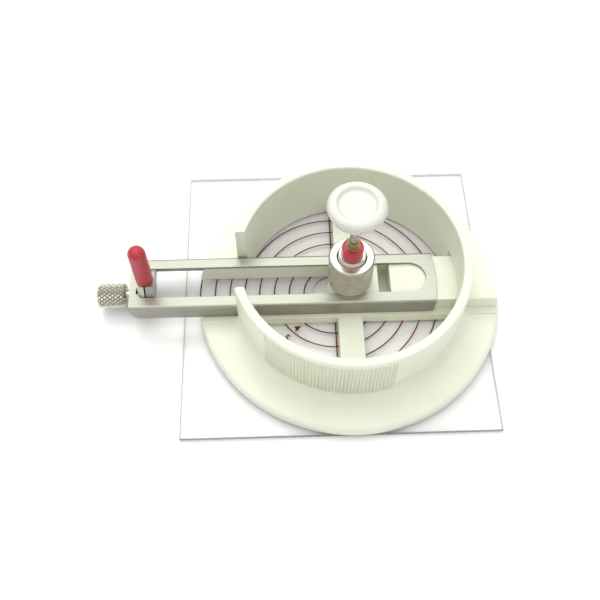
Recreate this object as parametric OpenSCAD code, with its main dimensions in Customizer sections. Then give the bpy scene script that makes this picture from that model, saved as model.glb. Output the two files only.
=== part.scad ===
// Circle cutter: a moulded ring base with a sliding blade arm, a sprung centre needle under a
// push knob, and the clear scale plate that it stands on.
// +Z is up, the needle's axis is Z, and the underside of the plate is z = 0.
// The arm lies along X with the blade at its -X end.

/* [Scale plate] */
// Side of the square plate
plate_side = 100; // [90:1:120]
// Thickness of the plate
plate_t = 1.5; // [1:0.1:3]
// Diameter of the plate's centre hole
plate_hole_d = 14.4; // [13.4:0.2:18]
// Where the plate's centre lies from the needle, along X
plate_dx = -4.8; // [-5:0.1:5]
// Where the plate's centre lies from the needle, along Y
plate_dy = 0.45; // [-2:0.05:2]

/* [Base ring] */
// Diameter of the flange
flange_d = 100; // [94:1:110]
// Thickness of the flange
flange_t = 3.4; // [2.4:0.1:3.8]
// Radius on the flange's upper edge
edge_r = 1.6; // [0.6:0.1:2]
// Inner diameter of the grip wall
ring_id = 70; // [66:0.5:74]
// Thickness of the grip wall
wall_t = 3.1; // [2.6:0.1:4]
// Height of the grip wall
ring_h = 24; // [18:0.5:30]
// Radius on both edges of the rim
rim_r = 0.9; // [0.4:0.1:1.2]
// Fillet between grip wall and flange
foot_r = 3; // [1:0.5:4]
// Angle where the front grip ribs begin
rib_from = 223; // [215:1:235]
// Angle where the front grip ribs end
rib_to = 288; // [275:1:320]
// Angle from one grip rib to the next
rib_step = 1.7; // [1.2:0.1:3]
// How far the grip ribs stand out of the band that carries them
rib_out = 0.35; // [0.2:0.05:0.6]
// How far that band stands out of the wall
rib_base = 0.1; // [0.05:0.05:0.3]
// Height above the flange where the ribs begin
rib_foot = 1.2; // [0.6:0.1:3]

/* [Guide in the base] */
// Thickness of the ledges and spokes
ledge_t = 3.8; // [3.8:0.1:5]
// Width of the ledge that shows beside the arm
ledge_out = 1.2; // [0.8:0.1:2]
// Width of the two spokes
spoke_w = 8; // [5:0.5:12]
// Height of the rails above the base's underside
rail_h = 9.6; // [9:0.1:12]
// Draft of the rails and guide block at the base's rim
rail_draft = 1.9; // [0.5:0.1:3]
// Thickness of the rails under the arm
rail_t = 1; // [0.8:0.1:2]
// Diameter of the hub's round side at its foot
hub_d = 15; // [14:0.1:16]
// Diameter of the hub's round side at its top
hub_top_d = 13.2; // [12:0.1:14]
// Reach of the webs between the rails and the hub's round side
hub_web = 3.5; // [2:0.1:5]
// Reach of the hub on the side away from the blade
hub_right = 9.4; // [8:0.1:12]
// Recess between the hub and the guide block
hub_gap = 3.9; // [2:0.1:8]
// Floor of that recess above the base's underside
recess_floor = 1.4; // [0.8:0.1:3]
// Clearance between the rails and the sides of the arm
guide_gap = 0.15; // [0.05:0.05:0.3]
// Clearance between the ledges and the arm's lower edges
slide_gap = 0.3; // [0.2:0.05:0.6]
// Clearance of the slit in the wall around the arm
slit_gap = 0.4; // [0.3:0.05:1]
// Clearance of the open gate in the wall beside the arm
gate_gap = 0.8; // [0.4:0.1:1]

/* [Arm] */
// Length of the arm
arm_l = 99.8; // [90:0.1:110]
// Width of the arm
arm_w = 18.8; // [17:0.1:22]
// Thickness of the arm's sheet
arm_t = 1; // [0.8:0.1:1.4]
// Reach of the arm's blade end from the needle
arm_out = 71.5; // [66:0.1:74]
// Width of the arm's slot
slot_w = 11; // [10:0.1:12]
// Radius of the slot's corners at the blade end
slot_r = 2.4; // [1.5:0.1:3]
// Metal between the slot and the tail end
slot_tail = 3.2; // [2.5:0.1:6]
// Radius of the lower corners at the blade end
heel_r = 4; // [1:0.5:5]
// Radius of the lower corners at the tail end
toe_r = 2; // [1:0.5:4]
// Radius of the rounded tail end
tail_r = 50; // [30:1:80]

/* [Blade chuck] */
// Distance from the arm's blade end to the blade
blade_in = 5.3; // [5:0.1:6]
// Offset of the blade from the arm's middle
chuck_y = -0.6; // [-0.8:0.1:0.8]
// Reach of the chuck's fixed half from the middle of the blade
chuck_out = 3.1; // [2.4:0.1:3.6]
// Width of the chuck's ridge at its top
chuck_top_w = 6; // [5:0.1:7]
// Height of the chuck above the arm
chuck_h = 3.5; // [2.8:0.1:5]
// Clearance of the chuck in the arm's slot
chuck_gap = 0.15; // [0.1:0.05:0.3]
// Step from the arm's end back to the chuck's block
block_in = 0.5; // [0.2:0.1:0.8]
// Wall of the chuck's block past the blade
block_wall = 1.5; // [1:0.1:2.5]
// How far the chuck's block stays inside the slot on each side
block_gap = 0.3; // [0.2:0.1:0.6]
// Clearance between the chuck's block and the plate
block_lift = 1; // [0.6:0.1:1.2]
// Thickness of the floor in the chuck's block
block_floor = 1.6; // [1.2:0.1:1.7]
// Length of the moving jaw along the arm
jaw_l = 2.3; // [2:0.1:2.5]
// Width of the moving jaw's foot
jaw_w = 5; // [4.4:0.1:5.6]
// Clearance on each side of the jaw's foot
jaw_gap = 0.05; // [0.03:0.01:0.15]
// How far the jaw backs off
jaw_travel = 0.6; // [0.4:0.05:0.7]

/* [Blade] */
// Thickness of the blade
blade_t = 0.4; // [0.3:0.05:0.6]
// Width of the blade
blade_w = 3.8; // [3:0.1:3.9]
// Length of the blade
blade_l = 26.5; // [22:0.5:27]
// Length of the blade's slanted edge
blade_edge = 7; // [4:0.5:10]

/* [Blade cap] */
// Diameter of the cap
cap_d = 5.6; // [5.4:0.1:6.2]
// Height of the cap
cap_h = 17.6; // [17:0.1:24]
// Bore of the cap
cap_bore = 4.3; // [4:0.1:4.4]
// Thickness of the cap's closed end
cap_end = 1.4; // [1:0.1:1.8]
// Radius on the cap's mouth
cap_lip_r = 0.6; // [0.2:0.1:0.6]

/* [Thumb screw] */
// Diameter of the stud
stud_d = 3; // [2.4:0.1:3.4]
// Clearance round the stud in its thread
stud_gap = 0.06; // [0.03:0.01:0.1]
// Height of the stud's axis above the base's underside
stud_z = 4.3; // [4.3:0.1:5]
// Diameter of the knurled head
head_d = 8; // [7:0.1:8]
// Length of the knurled head
head_l = 9.2; // [6:0.1:12]
// Chamfer on the head's ends
head_chamfer = 0.6; // [0.3:0.1:1]
// Diameter of the neck
neck_d = 3.8; // [3.6:0.1:5]
// Length of the neck
neck_l = 2.2; // [1.5:0.1:4]
// Gap between neck and chuck block when tight
neck_gap = 0.3; // [0.1:0.1:0.6]
// Depth of the stud in the head
stud_in = 6; // [3:0.5:7]
// Number of ridges on the head
head_teeth = 28; // [16:1:40]

/* [Clamp nut] */
// Diameter of the nut
nut_d = 14.7; // [13.6:0.1:15.2]
// Height of the nut
nut_h = 12.6; // [8:0.1:15]
// Chamfer on the nut's outer edges
nut_chamfer = 0.6; // [0.3:0.1:1.2]
// Width of the polished chamfer at the nut's mouth
mouth_w = 0.4; // [0.2:0.1:1]
// Number of ridges on the nut
nut_teeth = 46; // [30:1:60]
// Depth of the ridges on nut and thumb head
knurl_d = 0.25; // [0.1:0.05:0.4]
// Clearance of the nut on the post
thread_gap = 0.08; // [0.03:0.01:0.1]
// Diameter of the washer
washer_d = 14; // [13:0.1:14.6]
// Thickness of the washer
washer_t = 0.7; // [0.5:0.1:1.2]

/* [Centre post] */
// Diameter of the post
post_d = 8.8; // [8:0.1:9.2]
// Bore of the post
post_bore = 6; // [5.6:0.1:6.4]
// How far the post stands above the nut
post_out = 1.5; // [1.2:0.1:3]
// Diameter of the flange under the hub
post_flange_d = 10.4; // [9.8:0.1:10.8]
// Thickness of the flange under the hub
post_flange_t = 1.2; // [0.8:0.1:2]
// Clearance between the post and the plate
post_lift = 0.3; // [0.2:0.1:0.8]
// Thickness of the post's floor
post_floor = 1.5; // [1:0.1:2.5]
// Clearance of pieces that are pressed together
fit_gap = 0.02; // [0.01:0.01:0.05]

/* [Needle and guide] */
// Diameter of the red bush at its foot
bush_d = 7.1; // [6.8:0.1:7.8]
// Diameter of the red bush at its top
bush_top_d = 4.8; // [4.6:0.1:5.6]
// Height of the red bush above the post
bush_h = 4.1; // [3:0.1:6]
// Height of the straight foot of the red bush
bush_foot_h = 1.2; // [0.6:0.1:2]
// Length of the bush inside the post
spigot_l = 8; // [5:0.1:10]
// Height of the snap ring above the bush's lower end
snap_at = 2; // [1.5:0.1:3]
// Thickness of the snap ring
snap_t = 0.6; // [0.4:0.1:0.8]
// How far the snap ring reaches into the bush
snap_in = 0.4; // [0.2:0.05:0.5]
// How far the snap ring reaches into the post
snap_out = 0.35; // [0.2:0.05:0.5]
// Clearance of the snap ring in the post's groove
snap_gap = 0.05; // [0.03:0.01:0.1]
// Opening of the snap ring
snap_mouth = 1.2; // [0.6:0.1:2]
// Clearance of the bush in the post and of the shaft in the sleeve
run_gap = 0.05; // [0.03:0.01:0.1]
// Diameter of the sleeve
sleeve_d = 3.6; // [3.4:0.1:3.8]
// Flange of the sleeve on the bush, past the sleeve's side
sleeve_lip = 0.3; // [0.2:0.05:0.4]
// Thickness of the sleeve's flange
sleeve_lip_t = 0.4; // [0.3:0.1:0.6]
// How far the sleeve stands above the bush
sleeve_out = 3; // [1.5:0.1:5]
// Diameter of the shaft
shaft_d = 2.6; // [2.2:0.1:2.8]
// Diameter of the needle
needle_d = 1.2; // [0.8:0.1:1.4]
// Length of the needle's point
point_l = 3; // [2:0.5:5]
// Diameter of the needle's tip
tip_d = 0.1; // [0.06:0.02:0.2]
// Depth of the needle in the shaft
needle_in = 4; // [2:0.5:5]
// Clearance of the needle in the post's floor
exit_gap = 0.1; // [0.05:0.05:0.3]
// How far the knob presses the needle down
press = 6; // [3:0.5:7]
// Height of the needle's point above the plate's underside when pressed
point_gap = 0.2; // [0.1:0.1:1]
// Shaft between sleeve and knob
shaft_free = 13; // [8:0.5:18]
// Diameter of the stop clip
clip_d = 5.2; // [4.6:0.1:5.4]
// Thickness of the stop clip
clip_t = 0.8; // [0.5:0.1:1.2]
// Opening of the stop clip
clip_mouth = 1.6; // [1:0.1:1.8]
// Depth of the clip's groove in the shaft
groove_d = 0.3; // [0.2:0.05:0.4]
// Shaft below the clip
shaft_tail = 2; // [1.5:0.5:3]

/* [Return spring] */
// Outer diameter of the spring
spring_d = 5; // [4.6:0.1:5.2]
// Diameter of the spring's wire
wire_d = 0.5; // [0.3:0.05:0.6]
// Number of turns
spring_turns = 7; // [4:1:8]

/* [Knob] */
// Widest diameter of the knob
knob_d = 17.8; // [15:0.1:22]
// Diameter of the knob's underside
knob_foot_d = 14; // [11:0.1:16]
// Height of the ribbed side
knob_side_h = 4; // [3:0.1:6]
// Height of the smooth shoulder
knob_top_h = 2; // [1.4:0.1:3]
// Height of the shoulder's straight foot
knob_band_h = 0.6; // [0.3:0.1:1]
// Drop from the shoulder's top to the middle of its slope
knob_fall = 0.3; // [0.2:0.05:0.5]
// Width of the land round the dished top
dish_land = 0.5; // [0.3:0.1:0.8]
// Width of the slope into the dished top
dish_slope = 0.6; // [0.3:0.1:1]
// Diameter of the dished top
dish_d = 12.4; // [9:0.1:13]
// Depth of the dished top
dish_depth = 0.9; // [0.4:0.1:1.2]
// Number of fine ribs
knob_ribs = 76; // [40:1:90]
// Depth of the fine ribs
knob_rib_d = 0.35; // [0.15:0.05:0.5]
// Depth of the shaft in the knob
knob_bore_l = 4; // [2.5:0.1:4.4]

/* [Hidden] */
$fn = 96;
// Overshoot of cutting tools past the face that they cut
cut = 1;

// Heights
seat = plate_t;
ledge_top = seat + ledge_t;
rail_top = seat + rail_h;
arm_low = ledge_top + slide_gap;
arm_top = rail_top + arm_t;
chuck_top = arm_top + chuck_h;
block_low = seat + block_lift;
jaw_low = block_low + block_floor;
stud_axis = seat + stud_z;
nut_low = arm_top + washer_t;
nut_top = nut_low + nut_h;
post_low = seat + post_lift;
post_floor_top = post_low + post_floor;
post_top = nut_top + post_out;
bush_low = post_top - spigot_l;
bush_top = post_top + bush_h;
sleeve_top = bush_top + sleeve_out;
clip_low = bush_low - clip_t;
shaft_low = clip_low - shaft_tail;
snap_low = bush_low + snap_at;
spring_h = clip_low - post_floor_top - wire_d;
knob_low = sleeve_top + shaft_free;
shaft_top = knob_low + knob_bore_l;
point_z = point_gap + press;

// Radii and half widths
flange_r = flange_d / 2;
ring_r = ring_id / 2;
wall_r = ring_r + wall_t;
post_r = post_d / 2;
bore_r = post_bore / 2;
spigot_r = bore_r - run_gap;
shaft_r = shaft_d / 2;
sleeve_r = sleeve_d / 2;
groove_r = shaft_r - groove_d;
needle_r = needle_d / 2;
slot_y = slot_w / 2;
ridge_y = slot_y - chuck_gap;
stud_r = stud_d / 2;
wire_r = wire_d / 2;
spring_r = spring_d / 2 - wire_r;
rail_y = arm_w / 2 - arm_t - guide_gap;
window_y = rail_y - rail_t;
ledge_y = arm_w / 2 + ledge_out;
block_y = slot_y - block_gap;

// Places along the arm
arm_x = -arm_out;
tail_x = arm_x + arm_l;
blade_x = arm_x + blade_in;
slit_left = blade_x - blade_t / 2;
slit_right = blade_x + blade_t / 2;
jaw_x = slit_left - jaw_l;
chuck_end = blade_x + chuck_out;
slot_x = jaw_x - jaw_travel - chuck_gap;
block_x = arm_x + block_in;
neck_x = block_x - neck_gap;
head_x = neck_x - neck_l - head_l;
stud_x = neck_x - neck_l - stud_in;

// Rectangle from the origin with both upper corners rounded
module round_top(w, h, r) {
    square([w, h - r]);
    translate([r, 0]) square([w - 2 * r, h]);
    for (x = [r, w - r]) translate([x, h - r]) circle(r);
}

// Ridged outline for grips: n ridges between two radii
module ridged(n, r, depth) {
    polygon([for (i = [0 : 2 * n - 1])
        let (a = i * 180 / n, q = r - depth * (i % 2))
        q * [cos(a), sin(a)]]);
}

// Half section of a cylinder with both end edges chamfered
module barrel_section(r, h, chamfer) {
    polygon([[0, 0], [r - chamfer, 0], [r, chamfer], [r, h - chamfer], [r - chamfer, h], [0, h]]);
}

// Straight-knurled cylinder with chamfered ends
module knurled(n, r, h, chamfer) {
    intersection() {
        linear_extrude(h) ridged(n, r, knurl_d);
        rotate_extrude() barrel_section(r + knurl_d, h, chamfer + knurl_d);
    }
}

// Flat ring with an opening on its +X side
module open_ring(outer, inner, h, mouth) {
    difference() {
        cylinder(h = h, r = outer);
        translate([0, 0, -cut]) cylinder(h = h + 2 * cut, r = inner);
        translate([0, -mouth / 2, -cut]) cube([outer + cut, mouth, h + 2 * cut]);
    }
}

// Round bar along X from x to x + l
module bar_x(x, l, r) {
    translate([x, chuck_y, stud_axis]) rotate([0, 90, 0]) cylinder(h = l, r = r);
}

module scale_plate() {
    color("aliceblue") translate([plate_dx, plate_dy, 0])
        difference() {
            translate([-plate_side / 2, -plate_side / 2, 0]) cube([plate_side, plate_side, plate_t]);
            translate([0, 0, -cut]) cylinder(h = plate_t + 2 * cut, d = plate_hole_d);
        }
}

// Section of flange and grip wall, with radius along X
module ring_section() {
    translate([ring_r, 0]) {
        square([flange_r - ring_r, flange_t - edge_r]);
        square([flange_r - ring_r - edge_r, flange_t]);
        round_top(wall_t, ring_h, rim_r);
    }
    translate([flange_r - edge_r, flange_t - edge_r]) circle(edge_r);
    difference() {
        translate([wall_r, flange_t]) square(foot_r);
        translate([wall_r + foot_r, flange_t + foot_r]) circle(foot_r);
    }
}

// Upright ribs on the outside of the grip wall, front and back alike
module grip_ribs() {
    n = floor((rib_to - rib_from) / rib_step);
    low = flange_t + rib_foot;
    high = ring_h - 2 * rim_r;
    root = wall_r - wall_t / 2;
    outside = [for (i = [0 : 2 * n]) let (a = rib_from + i * rib_step / 2)
        (wall_r + rib_base + rib_out * (i % 2)) * [cos(a), sin(a)]];
    inside = [for (i = [2 * n : -2 : 0]) let (a = rib_from + i * rib_step / 2) root * [cos(a), sin(a)]];
    for (side = [0, 1]) mirror([0, side, 0]) translate([0, 0, low])
        linear_extrude(high - low) polygon(concat(outside, inside));
}

// Everything that crosses the ring: ledges, rails with hub and guide block, and spokes
module cross_bars() {
    translate([-flange_r, -ledge_y, 0]) cube([flange_d, 2 * ledge_y, ledge_t]);
    translate([-flange_r, -rail_y, 0]) cube([flange_d, 2 * rail_y, rail_h]);
    translate([-spoke_w / 2, -ring_r - wall_t / 2, 0]) cube([spoke_w, ring_id + wall_t, ledge_t]);
}

// What is open between the rails: the arm's window up to the hub's round side, and the recess
module rail_windows() {
    window_h = rail_h + 2 * cut;
    difference() {
        translate([-flange_r - cut, -window_y, -cut])
            cube([flange_r + cut - hub_web, 2 * window_y, window_h]);
        rotate_extrude() polygon([[0, -2 * cut], [hub_d / 2, -2 * cut], [hub_d / 2, 0],
            [hub_top_d / 2, rail_h], [hub_top_d / 2, window_h], [0, window_h]]);
    }
    translate([hub_right, -window_y, recess_floor]) cube([hub_gap, 2 * window_y, window_h]);
}

module base_ring() {
    gate_y = arm_w / 2 + gate_gap;
    slit_y = arm_w / 2 + slit_gap;
    slit_h = rail_h + arm_t + slit_gap - ledge_t;
    color("ivory") translate([0, 0, seat])
        difference() {
            union() {
                difference() {
                    union() {
                        rotate_extrude() ring_section();
                        grip_ribs();
                    }
                    translate([-flange_r - cut, -gate_y, ledge_t])
                        cube([flange_r - ring_r / 2, 2 * gate_y, ring_h]);
                    translate([ring_r / 2, -slit_y, ledge_t]) cube([flange_r, 2 * slit_y, slit_h]);
                }
                intersection() {
                    cross_bars();
                    cylinder(h = rail_h, r1 = flange_r, r2 = flange_r - rail_draft);
                }
            }
            rail_windows();
            translate([0, 0, -cut]) cylinder(h = rail_h + 2 * cut, r = post_r + fit_gap);
            translate([0, 0, -cut])
                cylinder(h = cut + post_lift + post_flange_t, d = post_flange_d + 2 * fit_gap);
        }
}

module centre_post() {
    color("gainsboro")
        difference() {
            union() {
                translate([0, 0, post_low]) cylinder(h = post_top - post_low, r = post_r);
                translate([0, 0, post_low]) cylinder(h = post_flange_t, d = post_flange_d);
            }
            translate([0, 0, post_floor_top]) cylinder(h = post_top - post_floor_top + cut, r = bore_r);
            translate([0, 0, post_low - cut]) cylinder(h = post_floor + 2 * cut, r = needle_r + exit_gap);
            translate([0, 0, snap_low - snap_gap])
                cylinder(h = snap_t + 2 * snap_gap, r = bore_r + snap_out + snap_gap);
        }
}

// Cross-section of the arm: Y along X, height along Y
module arm_section() {
    difference() {
        translate([-arm_w / 2, arm_low]) round_top(arm_w, arm_top - arm_low, arm_t);
        translate([arm_t - arm_w / 2, arm_low - cut]) square([arm_w - 2 * arm_t, rail_top - arm_low + cut]);
    }
}

// What a rounded lower corner of radius r leaves over, for a corner at the origin that faces +X
module corner_waste(r) {
    difference() {
        translate([-cut, -arm_w, -cut]) cube([r + cut, 2 * arm_w, r + cut]);
        translate([r, -arm_w - cut, r]) rotate([-90, 0, 0]) cylinder(h = 2 * (arm_w + cut), r = r);
    }
}

module arm() {
    slot_end = tail_x - slot_tail - slot_y;
    color("silver")
        difference() {
            translate([arm_x, 0, 0]) rotate([90, 0, 90]) linear_extrude(arm_l) arm_section();
            translate([0, 0, rail_top - cut]) linear_extrude(arm_t + 2 * cut) {
                translate([slot_end, -slot_y]) rotate(90) round_top(slot_w, slot_end - slot_x, slot_r);
                translate([slot_end, 0]) circle(slot_y);
            }
            translate([arm_x, 0, arm_low]) corner_waste(heel_r);
            translate([tail_x, 0, arm_low]) mirror([1, 0, 0]) corner_waste(toe_r);
            difference() {
                translate([tail_x - toe_r, -arm_w, arm_low - cut])
                    cube([toe_r + cut, 2 * arm_w, arm_top - arm_low + 2 * cut]);
                translate([tail_x - tail_r, 0, arm_low - 2 * cut])
                    cylinder(h = arm_top - arm_low + 4 * cut, r = tail_r);
            }
        }
}

// Ridge of the split chuck between two places along the arm, over the block and through the slot
module chuck_ridge(from, to) {
    intersection() {
        translate([from, 0, 0]) rotate([90, 0, 90]) linear_extrude(to - from)
            polygon([[-ridge_y, rail_top], [ridge_y, rail_top], [ridge_y, arm_top],
                [chuck_y + chuck_top_w / 2, chuck_top], [chuck_y - chuck_top_w / 2, chuck_top],
                [-ridge_y, arm_top]]);
        translate([chuck_end, -ridge_y, 0]) rotate(90) linear_extrude(chuck_top + cut)
            round_top(2 * ridge_y, chuck_end - jaw_x, slot_r - chuck_gap);
    }
}

module chuck_body() {
    pocket_x = jaw_x - jaw_travel - neck_gap;
    pocket_y = jaw_w / 2 + jaw_gap;
    color("darkgray") {
        difference() {
            translate([block_x, -block_y, block_low])
                cube([slit_right + block_wall - block_x, 2 * block_y, rail_top - block_low]);
            translate([pocket_x, chuck_y - pocket_y, jaw_low])
                cube([slit_right - pocket_x, 2 * pocket_y, rail_top - jaw_low + cut]);
            bar_x(block_x - cut, pocket_x - block_x + 2 * cut, stud_r + stud_gap);
        }
        chuck_ridge(slit_right, chuck_end);
    }
}

module chuck_jaw() {
    color("darkgray") {
        translate([jaw_x, chuck_y - jaw_w / 2, jaw_low]) cube([jaw_l, jaw_w, rail_top - jaw_low]);
        chuck_ridge(jaw_x, slit_left);
    }
}

module clamp_stud() {
    color("dimgray") bar_x(stud_x, jaw_x - stud_x, stud_r);
}

module clamp_head() {
    color("silver")
        difference() {
            union() {
                translate([head_x, chuck_y, stud_axis]) rotate([0, 90, 0])
                    knurled(head_teeth, head_d / 2, head_l, head_chamfer);
                bar_x(neck_x - neck_l, neck_l, neck_d / 2);
            }
            bar_x(stud_x, neck_x - stud_x + cut, stud_r + fit_gap);
        }
}

module blade() {
    color("lightsteelblue") translate([slit_left, chuck_y, jaw_low]) rotate([90, 0, 90])
        linear_extrude(blade_t) polygon([[-blade_w / 2, 0], [blade_w / 2, 0],
            [blade_w / 2, blade_l], [-blade_w / 2, blade_l - blade_edge]]);
}

module blade_cap() {
    r = cap_d / 2;
    color("firebrick") translate([blade_x, chuck_y, chuck_top])
        rotate_extrude() difference() {
            union() {
                translate([0, cap_lip_r]) square([r, cap_h - r - cap_lip_r]);
                square([r - cap_lip_r, cap_h - r]);
                translate([r - cap_lip_r, cap_lip_r]) circle(cap_lip_r);
                intersection() {
                    translate([0, cap_h - r]) circle(r);
                    translate([0, cap_h - r]) square(r);
                }
            }
            translate([0, -cut]) square([cap_bore / 2, cap_h - cap_end + cut]);
        }
}

module clamp_washer() {
    color("silver") translate([0, 0, arm_top])
        difference() {
            cylinder(h = washer_t, d = washer_d);
            translate([0, 0, -cut]) cylinder(h = washer_t + 2 * cut, r = post_r + thread_gap);
        }
}

module clamp_nut() {
    thread_r = post_r + thread_gap;
    color("silver") translate([0, 0, nut_low])
        difference() {
            knurled(nut_teeth, nut_d / 2, nut_h, nut_chamfer);
            translate([0, 0, -cut]) cylinder(h = nut_h + 2 * cut, r = thread_r);
            translate([0, 0, nut_h - mouth_w])
                cylinder(h = mouth_w, r1 = thread_r, r2 = thread_r + mouth_w);
        }
}

module guide_bush() {
    inner = sleeve_r + fit_gap;
    color("crimson") translate([0, 0, bush_low])
        rotate_extrude() difference() {
            polygon([[inner, 0], [spigot_r, 0], [spigot_r, spigot_l], [bush_d / 2, spigot_l],
                [bush_d / 2, spigot_l + bush_foot_h], [bush_top_d / 2, spigot_l + bush_h],
                [inner, spigot_l + bush_h]]);
            translate([spigot_r - snap_in, snap_at - fit_gap])
                square([snap_in + cut, snap_t + 2 * fit_gap]);
        }
}

module snap_ring() {
    color("dimgray") translate([0, 0, snap_low])
        open_ring(bore_r + snap_out, spigot_r - snap_in + fit_gap, snap_t, snap_mouth);
}

module guide_sleeve() {
    inner = shaft_r + run_gap;
    color("darkkhaki") translate([0, 0, bush_low])
        rotate_extrude() {
            translate([inner, 0]) square([sleeve_r - inner, sleeve_top - bush_low]);
            translate([inner, bush_top - bush_low]) square([sleeve_r + sleeve_lip - inner, sleeve_lip_t]);
        }
}

module needle_shaft() {
    color("lightgray")
        difference() {
            translate([0, 0, shaft_low]) cylinder(h = shaft_top - shaft_low, r = shaft_r);
            translate([0, 0, shaft_low - cut]) cylinder(h = needle_in + cut, r = needle_r + fit_gap);
            translate([0, 0, clip_low]) difference() {
                cylinder(h = clip_t, r = shaft_r + cut);
                translate([0, 0, -cut]) cylinder(h = clip_t + 2 * cut, r = groove_r);
            }
        }
}

module needle() {
    color("gray") {
        translate([0, 0, point_z]) cylinder(h = point_l, d1 = tip_d, r2 = needle_r);
        translate([0, 0, point_z + point_l])
            cylinder(h = shaft_low + needle_in - point_z - point_l, r = needle_r);
    }
}

module stop_clip() {
    color("dimgray") translate([0, 0, clip_low])
        open_ring(clip_d / 2, groove_r + fit_gap, clip_t, clip_mouth);
}

// Centre line of the spring at a given number of turns from its foot
function spring_at(turn) = [spring_r * cos(360 * turn), spring_r * sin(360 * turn),
    post_floor_top + wire_r + spring_h * turn / spring_turns];

module return_spring() {
    rings = 8;
    sides = 6;
    last = spring_turns * rings;
    line = [for (i = [0 : last]) spring_at(i / rings)];
    points = [for (i = [0 : last], j = [0 : sides - 1])
        let (turn = i / rings, b = (j + 0.5) * 360 / sides)
        line[i] + wire_r * [cos(b) * cos(360 * turn), cos(b) * sin(360 * turn), sin(b)]];
    skin = [for (i = [0 : last - 1], j = [0 : sides - 1], half = [0, 1])
        let (k = (j + 1) % sides, a = i * sides, b = a + sides)
        half == 0 ? [a + j, b + j, b + k] : [a + j, b + k, a + k]];
    foot = [for (j = [1 : sides - 2]) [0, j, j + 1]];
    top = last * sides;
    head = [for (j = [1 : sides - 2]) [top, top + j + 1, top + j]];
    gaps = [for (i = [0 : last], j = [i + rings / 2 : 1 : last]) norm(line[i] - line[j]) - wire_d];
    echo(least_gap_of_spring_to_itself = min(gaps));
    color("slategray") polyhedron(points, concat(skin, foot, head));
}

// Half section of the knob's smooth shoulder and dished top
module knob_section() {
    side_r = knob_d / 2 - knob_rib_d;
    dish_r = dish_d / 2;
    polygon([[0, 0], [side_r, 0], [side_r, knob_band_h],
        [(side_r + dish_r + dish_land) / 2, knob_top_h - knob_fall],
        [dish_r + dish_land, knob_top_h], [dish_r, knob_top_h],
        [dish_r - dish_slope, knob_top_h - dish_depth], [0, knob_top_h - dish_depth]]);
}

module knob() {
    color("white") translate([0, 0, knob_low])
        difference() {
            union() {
                linear_extrude(knob_side_h, scale = knob_d / knob_foot_d)
                    ridged(knob_ribs, knob_foot_d / 2, knob_rib_d);
                translate([0, 0, knob_side_h]) rotate_extrude() knob_section();
            }
            translate([0, 0, -cut]) cylinder(h = knob_bore_l + cut, r = shaft_r + fit_gap);
        }
}

scale_plate();
base_ring();
centre_post();
arm();
chuck_body();
chuck_jaw();
clamp_stud();
clamp_head();
blade();
blade_cap();
clamp_washer();
clamp_nut();
guide_bush();
snap_ring();
guide_sleeve();
needle_shaft();
needle();
stop_clip();
return_spring();
knob();
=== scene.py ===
"""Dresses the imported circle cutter: mouldings, metal parts, printed scale plate, light and camera."""
import math

import bmesh
import bpy
from mathutils import Matrix, Vector


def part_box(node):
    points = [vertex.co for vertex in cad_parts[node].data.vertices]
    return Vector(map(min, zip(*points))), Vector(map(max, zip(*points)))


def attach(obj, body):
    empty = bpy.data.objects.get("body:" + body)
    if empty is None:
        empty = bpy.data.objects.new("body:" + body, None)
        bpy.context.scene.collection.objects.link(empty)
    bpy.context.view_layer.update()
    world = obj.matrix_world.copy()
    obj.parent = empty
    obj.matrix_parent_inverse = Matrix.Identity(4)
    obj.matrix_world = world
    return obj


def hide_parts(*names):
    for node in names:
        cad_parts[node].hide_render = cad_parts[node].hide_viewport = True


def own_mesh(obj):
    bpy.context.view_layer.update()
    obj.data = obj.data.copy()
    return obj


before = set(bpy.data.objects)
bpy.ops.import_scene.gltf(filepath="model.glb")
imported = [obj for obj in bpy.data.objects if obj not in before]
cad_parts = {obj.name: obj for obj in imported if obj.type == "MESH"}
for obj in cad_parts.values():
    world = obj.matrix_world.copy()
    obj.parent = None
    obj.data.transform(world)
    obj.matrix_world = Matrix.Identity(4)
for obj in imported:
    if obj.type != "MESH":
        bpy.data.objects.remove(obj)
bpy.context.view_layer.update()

MM = 0.001

# Sizes of the turned parts round the needle, in millimetres
POST_R, POST_BORE, NUT_BORE = 4.4, 3.0, 4.48
SPIGOT_R, SLEEVE_R, SLEEVE_BORE, SHAFT_R, NEEDLE_R = 2.95, 1.8, 1.35, 1.3, 0.6
# Radius of the smooth grip wall: the ribs stand outside it
WALL_R = 38.1
# Room left under parts that slide or turn on another
SLACK = 0.03
# Gap between a part and the hole that it is pressed into, and round the needle in the post's floor
PRESS_GAP, NEEDLE_GAP = 0.02, 0.1
# Corners nearer than this are one corner, in millimetres
SAME_PLACE = 1e-4
# Share of a knurl's depth, from its crests down, that gets no painted groove shade
UNSHADED_CREST = 0.3
# Faces that meet at less than this are shaded as one surface
SMOOTH_LIMIT = math.radians(32)


def span(node):
    """Lowest and highest corner of a CAD node at rest, in millimetres."""
    return [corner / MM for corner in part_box(node)]


def middle(node):
    """Middle of a CAD node's box, in millimetres."""
    low, high = span(node)
    return (low + high) / 2


# Shading helpers

def srgb(code):
    """Linear colour, with alpha 1, of an sRGB hex value."""
    parts = [int(code[i:i + 2], 16) / 255 for i in (0, 2, 4)]
    return [c / 12.92 if c <= 0.04045 else ((c + 0.055) / 1.055) ** 2.4 for c in parts] + [1]


def add_node(tree, kind, settings=None, inputs=None):
    """Adds a shader node, sets its options, and fills or links its inputs."""
    made = tree.nodes.new(kind)
    for name, value in (settings or {}).items():
        setattr(made, name, value)
    for name, value in (inputs or {}).items():
        if isinstance(value, bpy.types.NodeSocket):
            tree.links.new(value, made.inputs[name])
        else:
            made.inputs[name].default_value = value
    return made


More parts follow.
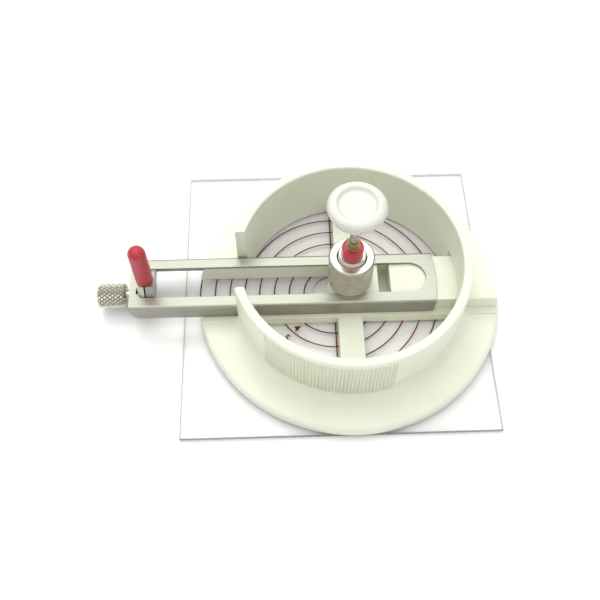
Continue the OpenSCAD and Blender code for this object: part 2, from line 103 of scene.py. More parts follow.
def new_material(name, sockets):
    """A material whose surface shader has these socket values. Gives it with its tree and shader."""
    made = bpy.data.materials.new(name)
    made.use_nodes = True
    shader = made.node_tree.nodes["Principled BSDF"]
    for socket, value in sockets.items():
        shader.inputs[socket].default_value = value
    return made, made.node_tree, shader


def colour_steps(tree, factor, stops):
    """Colour ramp on a factor, from (place, hex) pairs."""
    ramp = add_node(tree, "ShaderNodeValToRGB", inputs={"Fac": factor})
    while len(ramp.color_ramp.elements) < len(stops):
        ramp.color_ramp.elements.new(1)
    for element, (place, code) in zip(ramp.color_ramp.elements, stops):
        element.position = place
        element.color = srgb(code)
    return ramp.outputs["Color"]


def moulded(name, pale, deep, roughness, grain, depth):
    """Moulded plastic: a faint cloudiness in the colour, and the fine grain of the mould in the gloss.
    Grain is the size and depth the height of the mould's texture, in millimetres."""
    cloud_size, spread = 14, 0.15
    made, tree, shader = new_material(name, {"Roughness": roughness, "IOR": 1.53})
    place = add_node(tree, "ShaderNodeTexCoord").outputs["Object"]
    cloud = add_node(tree, "ShaderNodeTexNoise",
                     inputs={"Vector": place, "Scale": 1 / (cloud_size * MM), "Detail": 3})
    tone = colour_steps(tree, cloud.outputs["Fac"], [(0.3, deep), (0.7, pale)])
    tree.links.new(tone, shader.inputs["Base Color"])
    skin = add_node(tree, "ShaderNodeTexNoise",
                    inputs={"Vector": place, "Scale": 1 / (grain * MM), "Detail": 2})
    gloss = add_node(tree, "ShaderNodeMapRange", inputs={
        "Value": skin.outputs["Fac"],
        "To Min": roughness * (1 - spread), "To Max": roughness * (1 + spread)})
    tree.links.new(gloss.outputs["Result"], shader.inputs["Roughness"])
    bump = add_node(tree, "ShaderNodeBump", inputs={
        "Height": skin.outputs["Fac"], "Distance": depth * MM, "Strength": 0.5})
    tree.links.new(bump.outputs["Normal"], shader.inputs["Normal"])
    return made


def worked_metal(name, bright, dull, roughness, lay, depth):
    """Metal with fine tool marks: lay gives the length of the marks along X, Y and Z in millimetres."""
    finest, coarsest = 0.75, 1.3
    made, tree, shader = new_material(name, {"Metallic": 1, "Roughness": roughness})
    place = add_node(tree, "ShaderNodeTexCoord").outputs["Object"]
    stretched = add_node(tree, "ShaderNodeMapping", inputs={
        "Vector": place, "Scale": [1 / (s * MM) for s in lay]})
    marks = add_node(tree, "ShaderNodeTexNoise", inputs={
        "Vector": stretched.outputs["Vector"], "Scale": 1, "Detail": 4})
    tone = colour_steps(tree, marks.outputs["Fac"], [(0.25, dull), (0.75, bright)])
    tree.links.new(tone, shader.inputs["Base Color"])
    gloss = add_node(tree, "ShaderNodeMapRange", inputs={
        "Value": marks.outputs["Fac"],
        "To Min": roughness * finest, "To Max": roughness * coarsest})
    tree.links.new(gloss.outputs["Result"], shader.inputs["Roughness"])
    bump = add_node(tree, "ShaderNodeBump", inputs={
        "Height": marks.outputs["Fac"], "Distance": depth * MM, "Strength": 0.4})
    tree.links.new(bump.outputs["Normal"], shader.inputs["Normal"])
    return made


def paint_groove_shade(made, shade_colour, centre, across, valley, peak):
    """Paints shade into a metal's knurl: its colour darkens towards the bottom of the grooves. The axis
    goes through centre, across is 1 along the directions away from it, and valley and peak are the
    knurl's radii, in millimetres."""
    tree = made.node_tree
    base = tree.nodes["Principled BSDF"].inputs["Base Color"]
    tone = base.links[0].from_socket
    place = add_node(tree, "ShaderNodeTexCoord").outputs["Object"]
    shifted = add_node(tree, "ShaderNodeVectorMath", {"operation": "SUBTRACT"},
                       {0: place, 1: [c * MM for c in centre]})
    flat = add_node(tree, "ShaderNodeVectorMath", {"operation": "MULTIPLY"},
                    {0: shifted.outputs["Vector"], 1: across})
    reach = add_node(tree, "ShaderNodeVectorMath", {"operation": "LENGTH"}, {0: flat.outputs["Vector"]})
    share = add_node(tree, "ShaderNodeMapRange", inputs={
        "Value": reach.outputs["Value"], "From Min": valley * MM, "From Max": peak * MM})
    # Painted shade: the dark colour at the valleys, fading out towards the crests
    mixed = add_node(tree, "ShaderNodeMixRGB", inputs={
        "Fac": share.outputs["Result"], "Color1": srgb(shade_colour), "Color2": tone})
    tree.links.new(mixed.outputs["Color"], base)
    return made


# Satin ABS of the base: ivory with a green cast, soft highlights from a finely sparked mould
ivory_abs = moulded("satin_ivory_abs", "EAECDC", "E4E7D3", 0.42, 0.35, 0.008)
# Polished ABS of the push knob: clean white with a sharper highlight
white_abs = moulded("polished_white_abs", "DBDCD4", "D6D7CE", 0.32, 0.6, 0.005)
# Dip-moulded vinyl of the blade's cap: soft red, uneven skin, broad highlights
red_vinyl = moulded("dipped_red_vinyl", "C03540", "A82836", 0.36, 1.6, 0.1)
# Moulded acetal of the guide bush: deep red and slick
red_acetal = moulded("red_acetal", "BE3340", "AC2836", 0.25, 0.5, 0.01)
# Rolled sheet steel of the arm, brushed along its length
brushed_steel = worked_metal("brushed_sheet_steel", "BBBDB0", "A8AA9D", 0.36, (12, 0.35, 0.35), 0.012)
# Upright faces of the same sheet: a little rougher than its top, and painted darker as shade
steel_sides_painted_shade = worked_metal("sheet_steel_sides_painted_shade", "ABA99E", "96948A", 0.42, (8, 0.5, 0.5), 0.02)
# Nickel-plated turned parts round the needle: fine rings from the lathe
turned_nickel = worked_metal("turned_nickel", "D8D4C6", "BDB9A9", 0.24, (3, 3, 0.3), 0.01)
# Faced and polished end of the nut: the cutter's finest marks, and a lighter nickel that is painted
# highlight
polished_nickel_painted_highlight = worked_metal("polished_nickel_painted_highlight", "EDEBE2", "E0DED3", 0.22, (0.4, 0.4, 0.4), 0.004)
# Nickel-plated thumb screw, turned about the arm's direction
thumb_nickel = worked_metal("thumb_screw_nickel", "D2D0C2", "B8B5A6", 0.26, (0.3, 3, 3), 0.01)
# Die-cast and plated chuck: grainy and duller than the turned parts
cast_nickel = worked_metal("plated_zinc", "AFADA5", "99978F", 0.38, (0.6, 0.6, 0.6), 0.02)
# Milled and plated jaw beside it, brighter than the block
bright_nickel = worked_metal("milled_nickel", "D3D2C8", "C0BFB4", 0.34, (0.4, 3, 0.4), 0.01)
# Ground tool steel of the blade, stud, shaft and needle
ground_steel = worked_metal("ground_tool_steel", "C4C3BA", "A9A89F", 0.3, (0.25, 0.25, 4), 0.01)
# Turned brass of the guide sleeve, a little tarnished
dull_brass = worked_metal("tarnished_brass", "BBAE84", "A1966E", 0.5, (2, 2, 0.3), 0.01)


def printed_ink():
    """Screen-printed ink of the scale: flat dark crimson, a little thinner here and there."""
    made, tree, shader = new_material("crimson_print_ink", {"Roughness": 0.6, "Specular IOR Level": 0.2})
    place = add_node(tree, "ShaderNodeTexCoord").outputs["Object"]
    mottle = add_node(tree, "ShaderNodeTexNoise",
                      inputs={"Vector": place, "Scale": 1 / (0.9 * MM), "Detail": 2})
    tone = colour_steps(tree, mottle.outputs["Fac"], [(0.35, "66061E"), (0.7, "80122C")])
    tree.links.new(tone, shader.inputs["Base Color"])
    return made


def clear_sheet():
    """Clear polystyrene sheet: almost invisible face on, with grey sawn edges, and painted shade that
    makes the front edge darkest.
    """
    steep, level = 0.93, 0.97
    painted_front_shade, edge_cover, face_cover = 0.85, 0.55, 0.02
    made, tree, shader = new_material("clear_polystyrene", {"Roughness": 0.1, "IOR": 1.59})
    faces = add_node(tree, "ShaderNodeNewGeometry").outputs["True Normal"]
    upright = add_node(tree, "ShaderNodeSeparateXYZ", inputs={"Vector": faces}).outputs["Z"]
    flat = add_node(tree, "ShaderNodeMath", {"operation": "ABSOLUTE"}, {0: upright}).outputs["Value"]
    tone = colour_steps(tree, flat, [(steep, "6C6C6A"), (level, "8E9292")])
    tree.links.new(tone, shader.inputs["Base Color"])
    front = span("scale_plate")[0].y
    place = add_node(tree, "ShaderNodeTexCoord").outputs["Object"]
    depth = add_node(tree, "ShaderNodeSeparateXYZ", inputs={"Vector": place}).outputs["Y"]
    # Painted shade: the front edge is covered more, and so darker, than the other edges
    edge = add_node(tree, "ShaderNodeMapRange", inputs={
        "Value": depth, "From Min": (front + 0.1) * MM, "From Max": (front + 0.2) * MM,
        "To Min": painted_front_shade, "To Max": edge_cover})
    cover = add_node(tree, "ShaderNodeMapRange", inputs={
        "Value": flat, "From Min": steep, "From Max": level,
        "To Min": edge.outputs["Result"], "To Max": face_cover})
    tree.links.new(cover.outputs["Result"], shader.inputs["Alpha"])
    return made


# Making pieces

def ring_normal(face, corner):
    """Normal of a face at one of its corners. A narrow face of a ring about Z has the true ring's normal
    there, and any other face its own."""
    least_reach, narrow, aslant = 4, 0.99, 0.03
    spoke = face.calc_center_median().xy
    if spoke.length < least_reach:
        return face.normal
    spoke.normalize()
    across = spoke.x * face.normal.y - spoke.y * face.normal.x
    wide = any(v.co.xy.length > 0 and v.co.xy.normalized().dot(spoke) < narrow for v in face.verts)
    if abs(across) > aslant or wide:
        return face.normal
    reach = corner.co.xy.normalized() * face.normal.xy.dot(spoke)
    return Vector((reach.x, reach.y, face.normal.z))


def corner_normals(mesh_tool, limit):
    """Normal at each corner of each face: the mean of the faces there that meet it at less than the
    limit, by their areas."""
    made = []
    for face in mesh_tool.faces:
        for corner in face.verts:
            near = [f for f in corner.link_faces if f.normal.dot(face.normal) > math.cos(limit)]
            mean = sum((ring_normal(f, corner) * f.calc_area() for f in near), Vector())
            made.append(mean.normalized() if mean.length else face.normal.copy())
    return made


def finish_piece(name, mesh_tool, body, surface, slot, *stands_for):
    """Turns a bmesh in millimetres into a piece that rides on a body and stands for CAD nodes."""
    mesh_tool.normal_update()
    normals = corner_normals(mesh_tool, SMOOTH_LIMIT)
    bmesh.ops.scale(mesh_tool, vec=(MM, MM, MM), verts=mesh_tool.verts)
    for face in mesh_tool.faces:
        face.smooth = True
    mesh = bpy.data.meshes.new(name)
    mesh_tool.to_mesh(mesh)
    mesh_tool.free()
    mesh.normals_split_custom_set(normals)
    mesh.materials.append(surface)
    piece = bpy.data.objects.new(name, mesh)
    bpy.context.scene.collection.objects.link(piece)
    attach(piece, body)
    if stands_for:
        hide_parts(*stands_for)
    return piece


def dress(piece, surface, chosen):
    """Gives the chosen faces of a piece another finish."""
    piece.data.materials.append(surface)
    for face in piece.data.polygons:
        if chosen(face):
            face.material_index = len(piece.data.materials) - 1


def wire(mesh_tool, corners, closed):
    """Outline in the XZ plane from (radius, height, rounding) corners, with the corners rounded."""
    least_steps, steps_per_mm = 3, 4
    made = [mesh_tool.verts.new((r, 0, z)) for r, z, _ in corners]
    pairs = list(zip(made, made[1:])) + ([(made[-1], made[0])] if closed else [])
    for a, b in pairs:
        mesh_tool.edges.new((a, b))
    for vert, (_, _, rounding) in zip(made, corners):
        if rounding:
            steps = max(least_steps, round(rounding * steps_per_mm))
            bmesh.ops.bevel(mesh_tool, geom=[vert], offset=rounding, segments=steps, profile=0.5,
                            affect="VERTICES", material=-1)


def turned(corners, closed=True, steps=96):
    """A turned part about Z from the corners of its half section: a closed skin that faces outwards."""
    mesh_tool = bmesh.new()
    wire(mesh_tool, corners, closed)
    bmesh.ops.spin(mesh_tool, geom=mesh_tool.verts[:] + mesh_tool.edges[:], cent=(0, 0, 0),
                   axis=(0, 0, 1), angle=2 * math.pi, steps=steps, use_merge=True)
    bmesh.ops.remove_doubles(mesh_tool, verts=mesh_tool.verts, dist=1e-5)
    bmesh.ops.recalc_face_normals(mesh_tool, faces=mesh_tool.faces)
    return mesh_tool


def thread(radius, low, high, pitch, depth):
    """Corners of a screw thread's outline, from its low to its high end."""
    crest, root = 0.1, 0.6
    turns = int((high - low) / pitch)
    outline = []
    for i in range(turns):
        outline += [(radius, low + (i + crest) * pitch, 0),
                    (radius - depth, low + (i + root) * pitch, 0)]
    return outline


def distance(vert):
    """How far a corner lies from the Z axis."""
    return math.hypot(vert.co.x, vert.co.y)


def column(vert, count):
    """Number of the corner's column among so many round the Z axis."""
    return round(math.atan2(vert.co.y, vert.co.x) * count / (2 * math.pi))


def diamond_knurl(mesh_tool, low, high, rows, teeth, depth):
    """Cuts a diamond knurl into the straight wall between two heights: the wall's corners are raised
    and sunk by turns, and each square is split along its shorter diagonal."""
    outer = max(distance(v) for v in mesh_tool.verts)
    slack = 1e-3

    def wall():
        return [f for f in mesh_tool.faces if all(
            distance(v) > outer - slack and low - slack < v.co.z < high + slack for v in f.verts)]

    upright = {e for f in wall() for e in f.edges if abs(e.verts[0].co.z - e.verts[1].co.z) > slack}
    bmesh.ops.subdivide_edges(mesh_tool, edges=list(upright), cuts=rows - 1, use_grid_fill=True)
    bands = wall()
    step = (high - low) / rows
    for vert in {v for f in bands for v in f.verts}:
        row = round((vert.co.z - low) / step)
        if (row + column(vert, 2 * teeth)) % 2:
            vert.co.xy *= 1 - depth / outer
    bmesh.ops.triangulate(mesh_tool, faces=bands, quad_method="SHORT_EDGE")


def cad_copy(node):
    """Copy of a CAD node, in millimetres, with its loose triangles merged into whole faces."""
    mesh_tool = bmesh.new()
    mesh_tool.from_mesh(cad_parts[node].data)
    bmesh.ops.scale(mesh_tool, vec=(1 / MM, 1 / MM, 1 / MM), verts=mesh_tool.verts)
    level = math.radians(0.4)
    bmesh.ops.remove_doubles(mesh_tool, verts=mesh_tool.verts, dist=SAME_PLACE)
    bmesh.ops.dissolve_limit(mesh_tool, angle_limit=level, verts=mesh_tool.verts,
                             edges=mesh_tool.edges, use_dissolve_boundaries=False)
    return mesh_tool


def weld(mesh_tool):
    """Removes doubled corners and faces without area."""
    speck = 5e-3
    bmesh.ops.remove_doubles(mesh_tool, verts=mesh_tool.verts, dist=speck)
    bmesh.ops.dissolve_degenerate(mesh_tool, dist=speck, edges=mesh_tool.edges)


def ease(mesh_tool, width, least, wanted=lambda edge: True):
    """Rounds the sharp edges that are long enough and wanted."""
    crisp = math.radians(40)
    sharp = [e for e in mesh_tool.edges if e.is_manifold and e.calc_face_angle() > crisp
             and e.calc_length() > least and wanted(e)]
    bmesh.ops.bevel(mesh_tool, geom=sharp, offset=width, segments=2, profile=0.5, affect="EDGES",
                    material=-1, clamp_overlap=False)
    weld(mesh_tool)
    return mesh_tool


# Pieces of the cutter

def shape_ribs(base, length, sink):
    """Deepens the grooves between the grip ribs, and lets the ribs' upper ends run out into the wall."""
    inner, groove, outer = WALL_R + 0.05, WALL_R + 0.2, WALL_R + 0.6
    above_flange, under_skin, touch = 6, 0.02, 0.01

    def rib_faces():
        return [f for f in base.faces
                if all(inner < distance(v) < outer and v.co.z > above_flange for v in f.verts)]

    ribs = rib_faces()
    top = max(v.co.z for f in ribs for v in f.verts)
    parts = {v for f in ribs for v in f.verts} | {e for f in ribs for e in f.edges} | set(ribs)
    bmesh.ops.bisect_plane(base, geom=list(parts), plane_co=(0, 0, top - length), plane_no=(0, 0, 1))
    for vert in {v for f in rib_faces() for v in f.verts}:
        if vert.co.z > top - touch:
            vert.co.xy *= (WALL_R - under_skin) / distance(vert)
        elif distance(vert) < groove:
            vert.co.xy *= 1 - sink / distance(vert)


def make_base():
    """The ivory moulding: the straight edges of rails, spokes and gate are eased, the ribs crisp."""
    rounding, shortest, skin = 0.22, 2.5, 0.2
    run_out, sink = 1.5, 0.45

    def not_a_rib(edge):
        return min(distance(v) for v in edge.verts) < WALL_R - skin

    base = ease(cad_copy("base_ring"), rounding, shortest, not_a_rib)
    shape_ribs(base, run_out, sink)
    finish_piece("base_moulding", base, "base", ivory_abs, "ivory_plastic", "base_ring")


def make_arm():
    """The slotted arm and the halves of its chuck."""
    rounding, shortest, upright = 0.12, 0.9, 0.5
    sheet = ease(cad_copy("arm"), rounding, shortest)
    arm = finish_piece("slotted_arm", sheet, "arm", brushed_steel, "arm_steel", "arm")
    # The upright faces get painted shade: a darker copy of the steel
    dress(arm, steel_sides_painted_shade, lambda face: abs(face.normal.z) < upright)
    block = ease(cad_copy("chuck_body"), rounding, shortest)
    finish_piece("chuck_block", block, "arm", cast_nickel, "nickel", "chuck_body")
    jaw = ease(cad_copy("chuck_jaw"), rounding, shortest)
    finish_piece("chuck_clamp_jaw", jaw, "jaw", bright_nickel, "nickel", "chuck_jaw")


def make_nut():
    """The clamp nut: diamond-knurled side and a polished end round its mouth, painted lighter as
    highlight.
    """
    low, high = span("clamp_nut")
    chamfer, mouth, teeth, rows, depth = 0.6, 0.4, 54, 16, 0.24
    foot, brow = low.z + chamfer, high.z - chamfer
    nut = turned([(NUT_BORE, low.z, 0.1), (high.x - chamfer, low.z, 0), (high.x, foot, 0),
                  (high.x, brow, 0), (high.x - chamfer, high.z, 0.12), (NUT_BORE + mouth, high.z, 0.1),
                  (NUT_BORE, high.z - mouth, 0)], steps=2 * teeth)
    diamond_knurl(nut, foot, brow, rows, teeth, depth)
    piece = finish_piece("knurled_nut", nut, "nut", turned_nickel, "nickel", "clamp_nut")
    # The end round the mouth gets painted highlight: a lighter copy of the nickel
    dress(piece, polished_nickel_painted_highlight, lambda face: face.center.z > (high.z - 0.5 * chamfer) * MM)
    # The knurl gets a lighter copy of the nickel as painted highlight on its crests, and painted shade
    # in its grooves
    knurl_light_and_shade = worked_metal("knurled_nickel_painted_light_and_shade", "F0ECE0", "DCD8CA", 0.26, (3, 3, 0.3), 0.01)
    paint_groove_shade(knurl_light_and_shade, "AAA596", (0, 0, 0), (1, 1, 0), high.x - depth, high.x - UNSHADED_CREST * depth)
    dress(piece, knurl_light_and_shade, lambda face: foot * MM < face.center.z < brow * MM)


def lay_along_arm(mesh_tool, x):
    """Turns a part made about Z so that it lies along the thumb screw's axis from x."""
    axis = middle("clamp_stud")
    bmesh.ops.rotate(mesh_tool, cent=(0, 0, 0), matrix=Matrix.Rotation(math.pi / 2, 3, "Y"),
                     verts=mesh_tool.verts)
    bmesh.ops.translate(mesh_tool, vec=(x, axis.y, axis.z), verts=mesh_tool.verts)


def make_thumb_screw():
    """The thumb screw: a head with a coarse diamond knurl and a neck, on a threaded stud."""
    low, high = span("clamp_head")
    stud_low, stud_high = span("clamp_stud")
    outer, length, neck, neck_r, chamfer = (high.z - low.z) / 2, high.x - low.x, 2.2, 1.9, 0.6
    bore = (stud_high.z - stud_low.z) / 2 + PRESS_GAP
    collar = length - neck
    teeth, rows, depth = 18, 9, 0.45
    head = turned([(bore, 0, 0), (outer - chamfer, 0, 0.1), (outer, chamfer, 0),
                   (outer, collar - chamfer, 0), (outer - chamfer, collar, 0.1), (neck_r, collar, 0),
                   (neck_r, length, 0.15), (bore, length, 0)], steps=2 * teeth)
    diamond_knurl(head, chamfer, collar - chamfer, rows, teeth, depth)
    lay_along_arm(head, low.x)
    piece = finish_piece("knurled_thumb_head", head, "clamp", thumb_nickel, "nickel", "clamp_head")
    # The knurl gets a lighter copy of the nickel as painted highlight on its crests, and painted shade
    # in its grooves
    knurl_light_and_shade = worked_metal("knurled_thumb_nickel_painted_light_and_shade", "F0EEE2", "DEDBCD", 0.26, (0.3, 3, 3), 0.01)
    paint_groove_shade(knurl_light_and_shade, "969384", middle("clamp_stud"), (0, 1, 1), outer - depth,
                 outer - UNSHADED_CREST * depth)
    start, stop = (low.x + chamfer) * MM, (low.x + collar - chamfer) * MM
    dress(piece, knurl_light_and_shade, lambda face: start < face.center.x < stop)
    shank, stud_r = stud_high.x - stud_low.x, bore - PRESS_GAP
    lead_in, tip, tip_fall, pitch, cut = 0.2, 0.4, 0.3, 0.5, 0.2
    stud = turned([(0, 0, 0), (stud_r, 0, 0)] + thread(stud_r, lead_in, shank - tip, pitch, cut)
                  + [(stud_r - tip_fall, shank, 0), (0, shank, 0)], closed=False, steps=32)
    lay_along_arm(stud, stud_low.x)
    finish_piece("threaded_stud", stud, "clamp", ground_steel, "tool_steel", "clamp_stud")


def make_knob():
    """The push knob: fine ribs on its sloping side, a rounded lip and a dished top. The side's rings
    are (radius, height, depth of the groove between two ribs), the lip's (radius, fall from the top)."""
    low, high = span("knob")
    foot, top = low.z, high.z
    ribs, brow, foot_r, bore, touch = 60, foot + 4, 7.0, SHAFT_R + PRESS_GAP, 0.01
    side = [(foot_r, foot, 0.45), (high.x, brow, 0.45), (8.83, brow + 0.45, 0.4),
            (8.6, brow + 0.95, 0.3), (8.2, brow + 1.4, 0.2)]
    lip = [(7.65, 0.27), (7.0, 0.07), (6.5, 0), (6.15, 0.06), (5.85, 0.3), (5.5, 0.75), (5.2, 0.95),
           (4.7, 1.05), (0, 1.1)]
    knob = turned([(0, brow, 0), (bore, brow, 0), (bore, foot, 0)]
                  + [(r, z, 0) for r, z, _ in side] + [(r, top - fall, 0) for r, fall in lip],
                  closed=False, steps=2 * ribs)
    for vert in knob.verts:
        for r, z, groove in side:
            on_ring = abs(vert.co.z - z) < touch and abs(distance(vert) - r) < touch
            if on_ring and column(vert, 2 * ribs) % 2:
                vert.co.xy *= 1 - groove / r
    finish_piece("push_knob", knob, "spindle", white_abs, "white_plastic", "knob")


def make_spindle():
    """Shaft and needle under the knob."""
    low, high = span("needle_shaft")
    clip_low, clip_high = span("stop_clip")
    bore, bore_end, groove = NEEDLE_R + PRESS_GAP, low.z + 4, SHAFT_R - 0.3
    shaft = turned([(0, bore_end, 0), (bore, bore_end, 0), (bore, low.z, 0), (SHAFT_R, low.z, 0.2),
                    (SHAFT_R, clip_low.z, 0), (groove, clip_low.z, 0), (groove, clip_high.z, 0),
                    (SHAFT_R, clip_high.z, 0), (SHAFT_R, high.z, 0.15), (0, high.z, 0)],
                   closed=False, steps=48)
    finish_piece("bright_shaft", shaft, "spindle", ground_steel, "tool_steel", "needle_shaft")
    low, high = span("needle")
    tip_r, taper = 0.05, 3
    needle = turned([(0, low.z, 0), (tip_r, low.z, 0), (NEEDLE_R, low.z + taper, 0),
                     (NEEDLE_R, high.z, 0.1), (0, high.z, 0)], closed=False, steps=32)
    finish_piece("ground_needle", needle, "spindle", ground_steel, "tool_steel", "needle")


def make_cap():
    """The dipped cap over the blade: a soft thimble with a domed end and a rolled mouth."""
    low, high = span("blade_cap")
    centre = middle("blade_cap")
    outer, bore, end = (high.x - low.x) / 2, 2.15, 1.4
    cap = turned([(0, high.z - end, 0), (bore, high.z - end, 0.4), (bore, low.z, 0),
                  (outer, low.z, 0.5), (outer, high.z, outer - 0.05), (0, high.z, 0)],
                 closed=False, steps=64)
    bmesh.ops.translate(cap, vec=(centre.x, centre.y, 0), verts=cap.verts)
    finish_piece("vinyl_blade_cap", cap, "cap", red_vinyl, "red_vinyl", "blade_cap")


def make_blade():
    """The blade, with its slanted edge ground to a wedge."""
    low, high = span("blade")
    centre = middle("blade")
    rise, run, grind, edge_share = 7.0, high.y - low.y, 1.0, 0.06
    inward = Vector((0, rise, -run)).normalized()
    edge_point = Vector((centre.x, high.y, high.z))
    blade = cad_copy("blade")
    whole = blade.verts[:] + blade.edges[:] + blade.faces[:]
    bmesh.ops.bisect_plane(blade, geom=whole, plane_co=edge_point + inward * grind, plane_no=inward)
    for vert in blade.verts:
        if (vert.co - edge_point).dot(inward) < grind / 2:
            vert.co.x = centre.x + (vert.co.x - centre.x) * edge_share
    finish_piece("ground_blade", blade, "blade", ground_steel, "tool_steel", "blade")


def make_post():
    """The post with its thread, flanged below, and the washer that the nut turns on."""
    low, high = span("centre_post")
    ledge, floor, hole = low.z + 1.2, low.z + 1.5 - SLACK, NEEDLE_R + NEEDLE_GAP
    thread_low, thread_high, pitch, cut = 12.3, high.z - 0.5, 1.0, 0.3
    post = turned([(hole, low.z, 0), (high.x, low.z, 0.15), (high.x, ledge, 0), (POST_R, ledge, 0)]
                  + thread(POST_R, thread_low, thread_high, pitch, cut)
                  + [(POST_R, high.z - 0.45, 0), (POST_R - 0.35, high.z, 0), (POST_BORE, high.z, 0.15),
                     (POST_BORE, floor, 0), (hole, floor, 0)])
    # The post wears the same lighter nickel, painted highlight
    finish_piece("threaded_post", post, "base", polished_nickel_painted_highlight, "nickel", "centre_post")
    low, high = span("clamp_washer")
    seat = low.z + SLACK
    washer = turned([(NUT_BORE, seat, 0), (high.x, seat, 0.1), (high.x, high.z, 0.15),
                     (NUT_BORE, high.z, 0)])
    finish_piece("nut_washer", washer, "washer", turned_nickel, "nickel", "clamp_washer")


def make_guide():
    """The red bush on the post, straight with a flat top, and the flanged sleeve in it."""
    low, high = span("guide_bush")
    seat, bush_top, bore, taper = high.z - 4.1, high.z, SLEEVE_R + PRESS_GAP, 0.15
    bush = turned([(bore, low.z, 0), (SPIGOT_R, low.z, 0.1), (SPIGOT_R, seat, 0), (high.x, seat, 0),
                   (high.x - taper, bush_top, 0.45), (bore, bush_top, 0)])
    finish_piece("red_guide_bush", bush, "guide", red_acetal, "red_plastic", "guide_bush")
    low, high = span("guide_sleeve")
    lip_top = bush_top + 0.4
    sleeve = turned([(SLEEVE_BORE, low.z, 0), (SLEEVE_R, low.z, 0), (SLEEVE_R, bush_top, 0),
                     (high.x, bush_top, 0), (high.x, lip_top, 0.1), (SLEEVE_R, lip_top, 0),
                     (SLEEVE_R, high.z, 0.12), (SLEEVE_BORE, high.z, 0.1)])
    finish_piece("brass_guide_sleeve", sleeve, "guide", dull_brass, "brass", "guide_sleeve")


def make_spring():
    """The return spring in the post, which shortens as the knob is pressed."""
    wound = cad_copy("return_spring")
    coil = finish_piece("coil_spring", wound, "guide", ground_steel, "tool_steel", "return_spring")
    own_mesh(coil)


def dress_inner_nodes():
    """Finish for the small steel solids inside the post, which stay as they are."""
    for node in ("stop_clip", "snap_ring"):
        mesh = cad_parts[node].data
        mesh.materials.clear()
        mesh.materials.append(ground_steel)


# The scale plate and its print

# How far the ink's underside lies below the plate's top, and how thick the ink is
PRINT_DEPTH, INK_THICKNESS = 0.03, 0.02


def make_plate():
    """The clear plate, with its sawn edges just broken."""
    rounding, shortest = 0.08, 5
    plate = ease(cad_copy("scale_plate"), rounding, shortest)
    finish_piece("clear_scale_plate", plate, "plate", clear_sheet(), "clear_plastic", "scale_plate")


def raise_print(flat):
    """Gives flat print the thickness of the ink, as a closed skin that faces outwards."""
    raised = bmesh.ops.extrude_face_region(flat, geom=flat.faces[:])["geom"]
    upper = [g for g in raised if isinstance(g, bmesh.types.BMVert)]
    bmesh.ops.translate(flat, vec=(0, 0, INK_THICKNESS), verts=upper)
    bmesh.ops.recalc_face_normals(flat, faces=flat.faces)


def make_circles(ink):
    """Circles 5 mm apart and the two centre lines, printed just under the plate's top face."""
    half, first, last, step, bar_from, sides = 0.22, 10, 45, 5, 7, 128
    centre = middle("scale_plate")
    lines = bmesh.new()
    for radius in range(first, last + 1, step):
        ring = bmesh.ops.create_circle(lines, cap_ends=False, radius=radius - half,
                                       segments=sides)["verts"]
        edges = list({e for v in ring for e in v.link_edges})
        grown = bmesh.ops.extrude_edge_only(lines, edges=edges)["geom"]
        outer = [g for g in grown if isinstance(g, bmesh.types.BMVert)]
        bmesh.ops.scale(lines, vec=[(radius + half) / (radius - half)] * 2 + [1], verts=outer)
    for quarter in range(4):
        bar = bmesh.ops.create_grid(lines, x_segments=1, y_segments=1, size=0.5)["verts"]
        bmesh.ops.scale(lines, vec=(2 * half, last - bar_from, 1), verts=bar)
        bmesh.ops.translate(lines, vec=(0, (last + bar_from) / 2, 0), verts=bar)
        turn = Matrix.Rotation(quarter * math.pi / 2, 3, "Z")
        bmesh.ops.rotate(lines, cent=(0, 0, 0), matrix=turn, verts=bar)
    raise_print(lines)
    top = span("scale_plate")[1].z
    bmesh.ops.translate(lines, vec=(centre.x, centre.y, top - PRINT_DEPTH), verts=lines.verts)
    finish_piece("printed_circles", lines, "plate", ink, "red_plastic")


def make_number(text, radius, ink):
    """A printed number on the plate's front left diagonal: a circle's diameter in centimetres."""
    letters = bpy.data.curves.new("number", "FONT")
    # In this type a nine is a six turned round
    letters.body, turn = ("6", 135) if text == "9" else (text, -45)
    letters.size = 3.6
    letters.align_x, letters.align_y = "CENTER", "CENTER"
    letters.offset = 0.08
    holder = bpy.data.objects.new("number", letters)
    bpy.context.scene.collection.objects.link(holder)
    outlines = bpy.context.evaluated_depsgraph_get()
    shape = bpy.data.meshes.new_from_object(holder.evaluated_get(outlines))
    bpy.data.objects.remove(holder)
    digit = bmesh.new()
    digit.from_mesh(shape)
    bpy.data.meshes.remove(shape)
    bmesh.ops.remove_doubles(digit, verts=digit.verts, dist=SAME_PLACE)
    raise_print(digit)
    aslant = Matrix.Rotation(math.radians(turn), 3, "Z")
    bmesh.ops.rotate(digit, cent=(0, 0, 0), matrix=aslant, verts=digit.verts)
    reach = radius * math.sqrt(0.5)
    centre, top = middle("scale_plate"), span("scale_plate")[1].z
    place = (centre.x - reach, centre.y - reach, top - PRINT_DEPTH)
    bmesh.ops.translate(digit, vec=place, verts=digit.verts)
    finish_piece("printed_number_" + text, digit, "plate", ink, "red_plastic")


def make_print():
    """All that is printed on the plate. Each number stands just inside its circle."""
    step, inset = 5, 1.9
    ink = printed_ink()
    make_circles(ink)
    for text in "3456789":
        make_number(text, int(text) * step - inset, ink)


# Stage: camera, floor and soft light

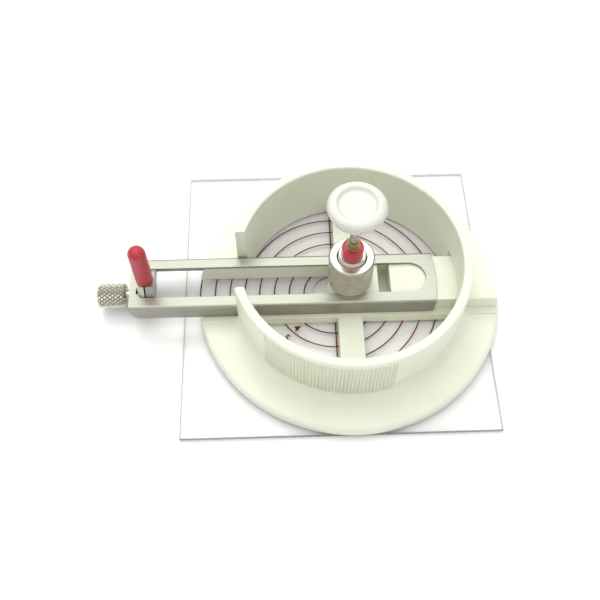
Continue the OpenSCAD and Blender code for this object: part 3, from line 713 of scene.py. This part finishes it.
def place_camera():
    """Camera at the photograph's angle, found from the plate's corners and printed circles."""
    elevation, azimuth, roll = (math.radians(a) for a in (60.446, -2.1, 0.325))
    target, distance_away = Vector((-16.233, -1.695, 1.5)) * MM, 269.712 * MM
    flat = math.cos(elevation)
    back = Vector((math.sin(azimuth) * flat, -math.cos(azimuth) * flat, math.sin(elevation)))
    right = Vector((math.cos(azimuth), math.sin(azimuth), 0))
    up = back.cross(right)
    side = right * math.cos(roll) + up * math.sin(roll)
    top = up * math.cos(roll) - right * math.sin(roll)
    eye = target + back * distance_away
    data = bpy.data.cameras.new("photo_camera")
    data.lens = 48.04
    data.sensor_width = 36
    data.clip_start = 0.01
    camera = bpy.data.objects.new("photo_camera", data)
    rows = [[side[i], top[i], back[i], eye[i]] for i in range(3)]
    camera.matrix_world = Matrix(rows + [[0, 0, 0, 1]])
    bpy.context.scene.collection.objects.link(camera)
    bpy.context.scene.camera = camera


def make_floor():
    """Plain white floor just under the plate."""
    half_side, drop = 2, 0.05 * MM
    ground = bmesh.new()
    bmesh.ops.create_grid(ground, x_segments=1, y_segments=1, size=half_side)
    bmesh.ops.translate(ground, vec=(0, 0, -drop), verts=ground.verts)
    mesh = bpy.data.meshes.new("floor")
    ground.to_mesh(mesh)
    ground.free()
    paper, _, _ = new_material("white_floor", {
        "Base Color": srgb("FEFEFE"), "Roughness": 0.9, "Specular IOR Level": 0})
    mesh.materials.append(paper)
    floor = bpy.data.objects.new("floor", mesh)
    bpy.context.scene.collection.objects.link(floor)


def add_lamp(name, place, size, power, mirrored):
    """Round lamp aimed at the cutter. The metal mirrors it only if so wanted."""
    data = bpy.data.lights.new(name, "AREA")
    data.shape = "DISK"
    data.size = size
    data.energy = power
    lamp = bpy.data.objects.new(name, data)
    lamp.location = place
    lamp.rotation_euler = (-Vector(place)).to_track_quat("-Z", "Y").to_euler()
    lamp.visible_glossy = mirrored
    bpy.context.scene.collection.objects.link(lamp)


def make_light():
    """White room, darker towards the horizon for the metal to show, with a broad and a narrow lamp
    behind. The backdrop itself is plain and pale."""
    room_strength, pale = 1.1, "F4F4F2"
    world = bpy.data.worlds.new("studio")
    bpy.context.scene.world = world
    world.use_nodes = True
    tree = world.node_tree
    place = add_node(tree, "ShaderNodeTexCoord").outputs["Generated"]
    height = add_node(tree, "ShaderNodeSeparateXYZ", inputs={"Vector": place}).outputs["Z"]
    tone = colour_steps(tree, height, [(0.0, "A0A09C"), (0.6, pale)])
    seen = add_node(tree, "ShaderNodeLightPath").outputs["Is Camera Ray"]
    backdrop = add_node(tree, "ShaderNodeMixRGB", inputs={
        "Fac": seen, "Color1": tone, "Color2": srgb(pale)})
    tree.links.new(backdrop.outputs["Color"], tree.nodes["Background"].inputs["Color"])
    tree.nodes["Background"].inputs["Strength"].default_value = room_strength
    add_lamp("back_softbox", (-0.05, 0.22, 0.6), 0.75, 1.7, True)
    add_lamp("back_lamp", (-0.1, 0.4, 0.5), 0.26, 0.8, False)


bpy.context.scene.view_settings.view_transform = "Standard"
place_camera()
make_floor()
make_light()
make_plate()
make_print()
make_base()
make_arm()
make_post()
make_guide()
make_nut()
make_thumb_screw()
make_knob()
make_spindle()
make_cap()
make_blade()
make_spring()
dress_inner_nodes()
bpy.context.view_layer.update()
